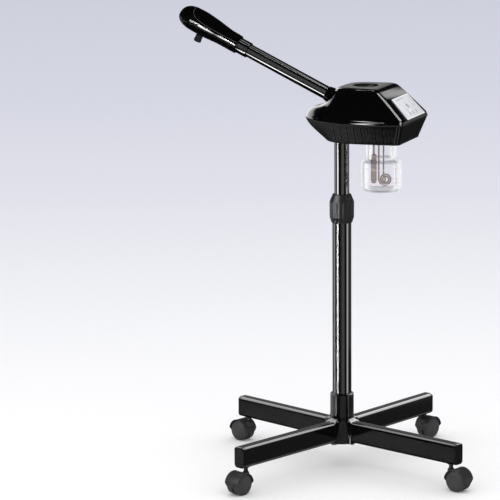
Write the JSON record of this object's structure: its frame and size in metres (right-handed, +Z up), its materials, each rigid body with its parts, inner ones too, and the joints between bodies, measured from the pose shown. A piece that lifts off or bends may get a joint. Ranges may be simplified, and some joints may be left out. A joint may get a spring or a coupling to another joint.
{
  "type": "facial steamer",
  "caption": "Floor-standing facial steamer: boat-shaped steam head with glass jar and tilting steam arm on a telescopic column with a cross base on casters.",
  "frame": {"origin": "floor level, at the centre of the overall outline seen from above; the column's axis is 22.7 mm from it towards +X and 4.5 mm towards +Y", "axes": "+Z up, -X towards the steam arm and nozzle, +X towards the control panel, Y across the housing"},
  "size_m": [0.7712, 0.708, 1.0916],
  "materials": {
    "gloss_black_casting": "gloss powder coat",
    "gloss_black_paint": "high-gloss enamel on steel tube",
    "gloss_black_plastic": "piano-black moulding",
    "satin_black_plastic": "satin, fine texture",
    "wheel_grey": "satin moulded nylon",
    "zinc_steel": "zinc plated",
    "stainless": "bright drawn stainless",
    "white_plastic": "natural moulding",
    "seal_rubber": "moulded rubber",
    "clear_glass": "clear heat-resistant glass",
    "lamp_glass": "clear lamp glass",
    "silver_panel": "silver printed overlay",
    "key_grey": "satin keys",
    "board_green": "solder mask"
  },
  "bodies": {
    "base": {"base_hub": "gloss_black_casting", "leg_front_right": "gloss_black_paint", "leg_rear_right": "gloss_black_paint", "leg_rear_left": "gloss_black_paint", "leg_front_left": "gloss_black_paint", "leg_end_caps": "gloss_black_plastic", "leg_bolts": "zinc_steel", "caster_sockets": "satin_black_plastic", "pole_bolt": "zinc_steel", "lower_pole": "gloss_black_paint", "collet_sleeve": "satin_black_plastic"},
    "collar": {"height_collar": "satin_black_plastic"},
    "mast": {"upper_pole": "gloss_black_paint", "slide_bush": "white_plastic"},
    "head": {"lower_housing": "gloss_black_plastic", "upper_cover": "gloss_black_plastic", "rim_seal": "seal_rubber", "housing_screws": "zinc_steel", "pole_socket": "satin_black_plastic", "arm_bracket": "zinc_steel", "pivot_pins": "zinc_steel", "boiler_head": "white_plastic", "jar_seal": "seal_rubber", "heating_element": "stainless", "level_sensor": "stainless", "steam_pipe": "white_plastic", "ozone_lamp": "lamp_glass", "control_panel": "silver_panel", "control_board": "board_green", "power_inlet": "satin_black_plastic"},
    "jar_lock": {"jar_ring": "gloss_black_plastic"},
    "jar": {"glass_jar": "clear_glass"},
    "basket": {"aroma_basket": "stainless"},
    "cap": {"top_cap": "gloss_black_plastic"},
    "power_key": {"power_button": "key_grey"},
    "steam_key": {"steam_button": "key_grey"},
    "ozone_key": {"ozone_button": "key_grey"},
    "timer_key": {"timer_button": "key_grey"},
    "arm": {"arm_knuckle": "gloss_black_plastic", "arm_tube": "gloss_black_paint", "arm_collar": "gloss_black_paint"},
    "nozzle": {"nozzle_shell": "gloss_black_plastic", "nozzle_cover": "gloss_black_plastic", "nozzle_spout": "gloss_black_plastic"},
    "caster_1": {"caster_stem_1": "zinc_steel", "caster_hood_1": "satin_black_plastic"},
    "wheels_1": {"caster_axle_1": "zinc_steel", "caster_wheels_1": "wheel_grey"},
    "caster_2": {"caster_stem_2": "zinc_steel", "caster_hood_2": "satin_black_plastic"},
    "wheels_2": {"caster_axle_2": "zinc_steel", "caster_wheels_2": "wheel_grey"},
    "caster_3": {"caster_stem_3": "zinc_steel", "caster_hood_3": "satin_black_plastic"},
    "wheels_3": {"caster_axle_3": "zinc_steel", "caster_wheels_3": "wheel_grey"},
    "caster_4": {"caster_stem_4": "zinc_steel", "caster_hood_4": "satin_black_plastic"},
    "wheels_4": {"caster_axle_4": "zinc_steel", "caster_wheels_4": "wheel_grey"}
  },
  "joints": [
    {"name": "caster_1_swivel", "type": "hinge", "parent": "base", "child": "caster_1", "pos_m": [0.33176, -0.11407, 0.055], "axis": [0, 0, 1], "continuous": true},
    {"name": "caster_1_roll", "type": "hinge", "parent": "caster_1", "child": "wheels_1", "pos_m": [0.3523, -0.12195, 0.025], "axis": [-0.3584, -0.9336, 0], "continuous": true},
    {"name": "caster_2_swivel", "type": "hinge", "parent": "base", "child": "caster_2", "pos_m": [0.13151, 0.30017, 0.055], "axis": [0, 0, 1], "continuous": true},
    {"name": "caster_2_roll", "type": "hinge", "parent": "caster_2", "child": "wheels_2", "pos_m": [0.13911, 0.32082, 0.025], "axis": [0.9385, -0.3453, 0], "continuous": true},
    {"name": "caster_3_swivel", "type": "hinge", "parent": "base", "child": "caster_3", "pos_m": [-0.26591, 0.13066, 0.055], "axis": [0, 0, 1], "continuous": true},
    {"name": "caster_3_roll", "type": "hinge", "parent": "caster_3", "child": "wheels_3", "pos_m": [-0.28607, 0.13947, 0.025], "axis": [0.4003, 0.9164, 0], "continuous": true},
    {"name": "caster_4_swivel", "type": "hinge", "parent": "base", "child": "caster_4", "pos_m": [-0.10659, -0.30014, 0.055], "axis": [0, 0, 1], "continuous": true},
    {"name": "caster_4_roll", "type": "hinge", "parent": "caster_4", "child": "wheels_4", "pos_m": [-0.11518, -0.32039, 0.025], "axis": [-0.9205, 0.3907, 0], "continuous": true},
    {"name": "collar_twist", "type": "hinge", "parent": "base", "child": "collar", "pos_m": [0.02275, 0.00455, 0.62], "axis": [0, 0, 1], "range_deg": [-90, 0]},
    {"name": "column_slide", "type": "slide", "parent": "base", "child": "mast", "axis": [0, 0, 1], "range_m": [-0.12, 0.29]},
    {"name": "head_turn", "type": "hinge", "parent": "mast", "child": "head", "pos_m": [0.02275, 0.00455, 0.82], "axis": [0, 0, 1], "continuous": true},
    {"name": "arm_tilt", "type": "hinge", "parent": "head", "child": "arm", "pos_m": [0.01611, 0.00455, 0.8825], "axis": [0, 1, 0], "range_deg": [-6, 20]},
    {"name": "nozzle_turn", "type": "hinge", "parent": "arm", "child": "nozzle", "pos_m": [0.01611, 0.00455, 0.8825], "axis": [-0.9026, 0, 0.4305], "continuous": true},
    {"name": "jar_twist", "type": "hinge", "parent": "head", "child": "jar_lock", "pos_m": [0.12075, 0.00455, 0.79], "axis": [0, 0, 1], "range_deg": [-45, 0]},
    {"name": "jar_drop", "type": "slide", "parent": "jar_lock", "child": "jar", "axis": [0, 0, 1], "range_m": [-0.135, 0]},
    {"name": "basket_lift", "type": "slide", "parent": "head", "child": "basket", "axis": [0, 0, 1], "range_m": [0, 0.05]},
    {"name": "cap_twist", "type": "hinge", "parent": "basket", "child": "cap", "pos_m": [0.08275, 0.00455, 0.914], "axis": [0, 0, 1], "range_deg": [-45, 0]},
    {"name": "power_press", "type": "slide", "parent": "head", "child": "power_key", "axis": [0.7071, 0, 0.7071], "range_m": [-0.0008, 0], "stiffness_N_per_m": 800},
    {"name": "steam_press", "type": "slide", "parent": "head", "child": "steam_key", "axis": [0.7071, 0, 0.7071], "range_m": [-0.0008, 0], "stiffness_N_per_m": 800},
    {"name": "ozone_press", "type": "slide", "parent": "head", "child": "ozone_key", "axis": [0.7071, 0, 0.7071], "range_m": [-0.0008, 0], "stiffness_N_per_m": 800},
    {"name": "timer_press", "type": "slide", "parent": "head", "child": "timer_key", "axis": [0.7071, 0, 0.7071], "range_m": [-0.0008, 0], "stiffness_N_per_m": 800}
  ]
}
